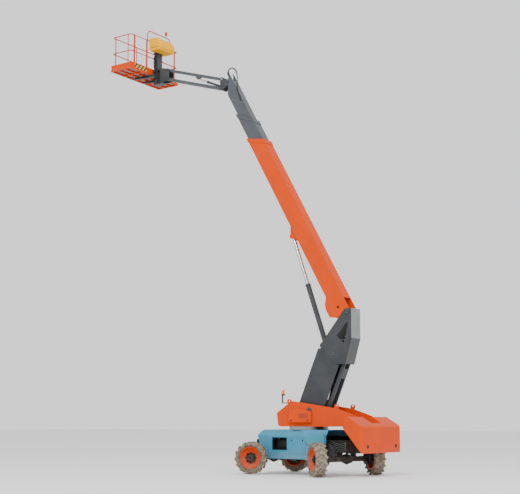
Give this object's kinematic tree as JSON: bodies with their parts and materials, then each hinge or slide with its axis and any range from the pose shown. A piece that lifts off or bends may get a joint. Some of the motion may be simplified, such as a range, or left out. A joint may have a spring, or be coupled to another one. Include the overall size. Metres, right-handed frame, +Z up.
{
  "type": "boom lift",
  "caption": "Self-propelled boom lift: steered wheels, slewing turntable, folding lower arm, telescopic boom, parallel jib and a railed platform with a gate.",
  "frame": {"origin": "on the ground under the slewing axis", "axes": "+X the way the boom points, +Y the machine's left, +Z up"},
  "size_m": [9.17, 3.3561, 14.5],
  "materials": {
    "orange": "worn enamel",
    "blue": "worn enamel",
    "grey": "worn enamel",
    "pale_grey": "worn enamel",
    "rim_red": "worn enamel",
    "cast": "dusty casting",
    "bright_steel": "hard chrome",
    "steel": "worn steel",
    "tyre": "dusty rubber",
    "yellow": "moulded plastic",
    "hose_black": "rubber hose",
    "amber": "lens plastic"
  },
  "bodies": {
    "chassis": {"chassis_frame": "blue", "chassis_body": "blue", "arch_boxes": "blue", "valve_blocks": "cast", "slew_ring": "steel", "front_axle": "cast", "rear_axle": "cast"},
    "turntable": {"turntable_frame": "orange", "counterweight": "orange", "engine_block": "cast", "beacon": "amber"},
    "left_cover": {"left_cover": "orange"},
    "engine_hood": {"engine_hood": "orange"},
    "lower_arm": {"lower_arm": "grey"},
    "lower_link": {"lower_link": "grey"},
    "arm_barrel": {"arm_cylinder_barrel": "grey"},
    "arm_rod": {"arm_cylinder_rod": "bright_steel"},
    "upright": {"upright": "grey", "upright_cover": "pale_grey"},
    "boom_base": {"boom_base": "orange", "hose_carrier": "hose_black"},
    "lift_rod": {"lift_cylinder_rod": "bright_steel"},
    "lift_barrel": {"lift_cylinder_barrel": "grey"},
    "boom_mid": {"boom_mid": "grey"},
    "boom_fly": {"boom_fly": "grey"},
    "level_bracket": {"level_bracket": "grey"},
    "jib_upper": {"jib_upper": "grey", "jib_cylinder_rod": "bright_steel"},
    "jib_lower": {"jib_lower": "grey"},
    "jib_barrel": {"jib_cylinder_barrel": "grey"},
    "jib_head": {"jib_head_bracket": "grey"},
    "platform": {"platform_support": "grey", "platform_frame": "orange", "platform_deck": "steel", "toe_boards": "orange", "guard_rails": "orange", "rail_posts": "orange", "console_cover": "yellow", "console_frame": "grey", "guard_bar": "orange"},
    "gate": {"platform_gate": "orange"},
    "front_left_knuckle": {"front_left_knuckle": "cast"},
    "front_left_wheel": {"front_left_wheel": "rim_red", "front_left_tyre": "tyre"},
    "front_right_knuckle": {"front_right_knuckle": "cast"},
    "front_right_wheel": {"front_right_wheel": "rim_red", "front_right_tyre": "tyre"},
    "rear_left_knuckle": {"rear_left_knuckle": "cast"},
    "rear_left_wheel": {"rear_left_wheel": "rim_red", "rear_left_tyre": "tyre"},
    "rear_right_knuckle": {"rear_right_knuckle": "cast"},
    "rear_right_wheel": {"rear_right_wheel": "rim_red", "rear_right_tyre": "tyre"}
  },
  "joints": [
    {"name": "turntable_slew", "type": "hinge", "parent": "chassis", "child": "turntable", "pos_m": [0, 0, 1.35], "axis": [0, 0, 1], "continuous": true},
    {"name": "left_cover_lift", "type": "hinge", "parent": "turntable", "child": "left_cover", "pos_m": [0, 0.4653, 1.86], "axis": [1, 0, 0], "range_deg": [0, 75]},
    {"name": "engine_hood_lift", "type": "hinge", "parent": "turntable", "child": "engine_hood", "pos_m": [0, -0.4653, 1.8], "axis": [-1, 0, 0], "range_deg": [0, 60]},
    {"name": "lower_arm_lift", "type": "hinge", "parent": "turntable", "child": "lower_arm", "pos_m": [-0.3, 0, 1.8], "axis": [0, 1, 0], "range_deg": [-64, 3]},
    {"name": "lower_link_swing", "type": "hinge", "parent": "turntable", "child": "lower_link", "pos_m": [-0.62, 0, 1.57], "axis": [0, 1, 0], "range_deg": [-64, 3]},
    {"name": "arm_cylinder_swing", "type": "hinge", "parent": "turntable", "child": "arm_barrel", "pos_m": [-0.45, 0, 1.46], "axis": [0, 1, 0], "range_deg": [-60, 4]},
    {"name": "arm_cylinder_stroke", "type": "slide", "parent": "arm_barrel", "child": "arm_rod", "axis": [-0.2517, 0, 0.9678], "range_m": [-0.37, 0.03]},
    {"name": "upright_level", "type": "hinge", "parent": "lower_arm", "child": "upright", "pos_m": [-0.97792, 0, 3.39708], "axis": [0, 1, 0], "range_deg": [-3, 64]},
    {"name": "boom_lift", "type": "hinge", "parent": "upright", "child": "boom_base", "pos_m": [-1.45492, 0, 4.57008], "axis": [0, -1, 0], "range_deg": [-61.2, 13.8]},
    {"name": "lift_rod_swing", "type": "hinge", "parent": "boom_base", "child": "lift_rod", "pos_m": [0.5057, 0, 6.91796], "axis": [0, -1, 0], "range_deg": [-0.9, 0.3]},
    {"name": "lift_cylinder_stroke", "type": "slide", "parent": "lift_rod", "child": "lift_barrel", "axis": [-0.3237, 0, -0.9462], "range_m": [-1.3, 0.3]},
    {"name": "boom_telescope", "type": "slide", "parent": "boom_base", "child": "boom_mid", "axis": [0.4818, 0, 0.8763], "range_m": [-0.65, 3.6]},
    {"name": "fly_telescope", "type": "slide", "parent": "boom_mid", "child": "boom_fly", "axis": [0.4818, 0, 0.8763], "range_m": [-0.65, 3.6]},
    {"name": "platform_level", "type": "hinge", "parent": "boom_fly", "child": "level_bracket", "pos_m": [2.87306, 0, 12.02749], "axis": [0, -1, 0], "range_deg": [-13.8, 61.2]},
    {"name": "jib_lift", "type": "hinge", "parent": "level_bracket", "child": "jib_upper", "pos_m": [3.1, 0, 12.19], "axis": [0, 1, 0], "range_deg": [-52.5, 77.5]},
    {"name": "jib_lower_swing", "type": "hinge", "parent": "level_bracket", "child": "jib_lower", "pos_m": [3.1, 0, 11.88], "axis": [0, 1, 0], "range_deg": [-52.5, 77.5]},
    {"name": "jib_head_level", "type": "hinge", "parent": "jib_upper", "child": "jib_head", "pos_m": [5.30023, 0, 12.88373], "axis": [0, 1, 0], "range_deg": [-77.5, 52.5]},
    {"name": "jib_cylinder_stroke", "type": "slide", "parent": "jib_upper", "child": "jib_barrel", "axis": [-0.912, 0, -0.4102], "range_m": [-0.32, 0.25]},
    {"name": "platform_rotate", "type": "hinge", "parent": "jib_head", "child": "platform", "pos_m": [5.6, 0, 12.75], "axis": [0, 0, 1], "range_deg": [-90, 90]},
    {"name": "gate_swing", "type": "hinge", "parent": "platform", "child": "gate", "pos_m": [5.97, 1.039, 13.4], "axis": [0, 0, 1], "range_deg": [0, 85]},
    {"name": "front_left_steer", "type": "hinge", "parent": "chassis", "child": "front_left_knuckle", "pos_m": [1.52459, 0.58413, 0.465], "axis": [0, 0, 1], "range_deg": [-65, 5]},
    {"name": "front_left_spin", "type": "hinge", "parent": "front_left_knuckle", "child": "front_left_wheel", "pos_m": [1.43225, 0.83785, 0.465], "axis": [-0.342, 0.9397, 0], "continuous": true},
    {"name": "front_right_steer", "type": "hinge", "parent": "chassis", "child": "front_right_knuckle", "pos_m": [1.23287, -1.07035, 0.465], "axis": [0, 0, 1], "range_deg": [-65, 5]},
    {"name": "front_right_spin", "type": "hinge", "parent": "front_right_knuckle", "child": "front_right_wheel", "pos_m": [1.32521, -1.32406, 0.465], "axis": [-0.342, 0.9397, 0], "continuous": true},
    {"name": "rear_left_steer", "type": "hinge", "parent": "chassis", "child": "rear_left_knuckle", "pos_m": [-1.23287, 1.07035, 0.465], "axis": [0, 0, 1], "range_deg": [-5, 65]},
    {"name": "rear_left_spin", "type": "hinge", "parent": "rear_left_knuckle", "child": "rear_left_wheel", "pos_m": [-1.05931, 1.27718, 0.465], "axis": [0.6428, 0.766, 0], "continuous": true},
    {"name": "rear_right_steer", "type": "hinge", "parent": "chassis", "child": "rear_right_knuckle", "pos_m": [-1.52459, -0.58413, 0.465], "axis": [0, 0, 1], "range_deg": [-5, 65]},
    {"name": "rear_right_spin", "type": "hinge", "parent": "rear_right_knuckle", "child": "rear_right_wheel", "pos_m": [-1.69815, -0.79096, 0.465], "axis": [0.6428, 0.766, 0], "continuous": true}
  ],
  "couplings": [
    {"joint": "lower_link_swing", "follows": "lower_arm_lift", "ratio": 1},
    {"joint": "arm_cylinder_swing", "follows": "lower_arm_lift", "ratio": 0.85262},
    {"joint": "arm_cylinder_stroke", "follows": "lower_arm_lift", "m_per_rad": 0.32237},
    {"joint": "upright_level", "follows": "lower_arm_lift", "ratio": -1},
    {"joint": "lift_rod_swing", "follows": "boom_lift", "ratio": 0.0132},
    {"joint": "lift_cylinder_stroke", "follows": "boom_lift", "m_per_rad": 1.1955},
    {"joint": "fly_telescope", "follows": "boom_telescope", "ratio": 1},
    {"joint": "platform_level", "follows": "boom_lift", "ratio": -1},
    {"joint": "jib_lower_swing", "follows": "jib_lift", "ratio": 1},
    {"joint": "jib_head_level", "follows": "jib_lift", "ratio": -1},
    {"joint": "jib_cylinder_stroke", "follows": "jib_lift", "m_per_rad": -0.1924},
    {"joint": "front_right_steer", "follows": "front_left_steer", "ratio": 1},
    {"joint": "rear_right_steer", "follows": "rear_left_steer", "ratio": 1}
  ]
}
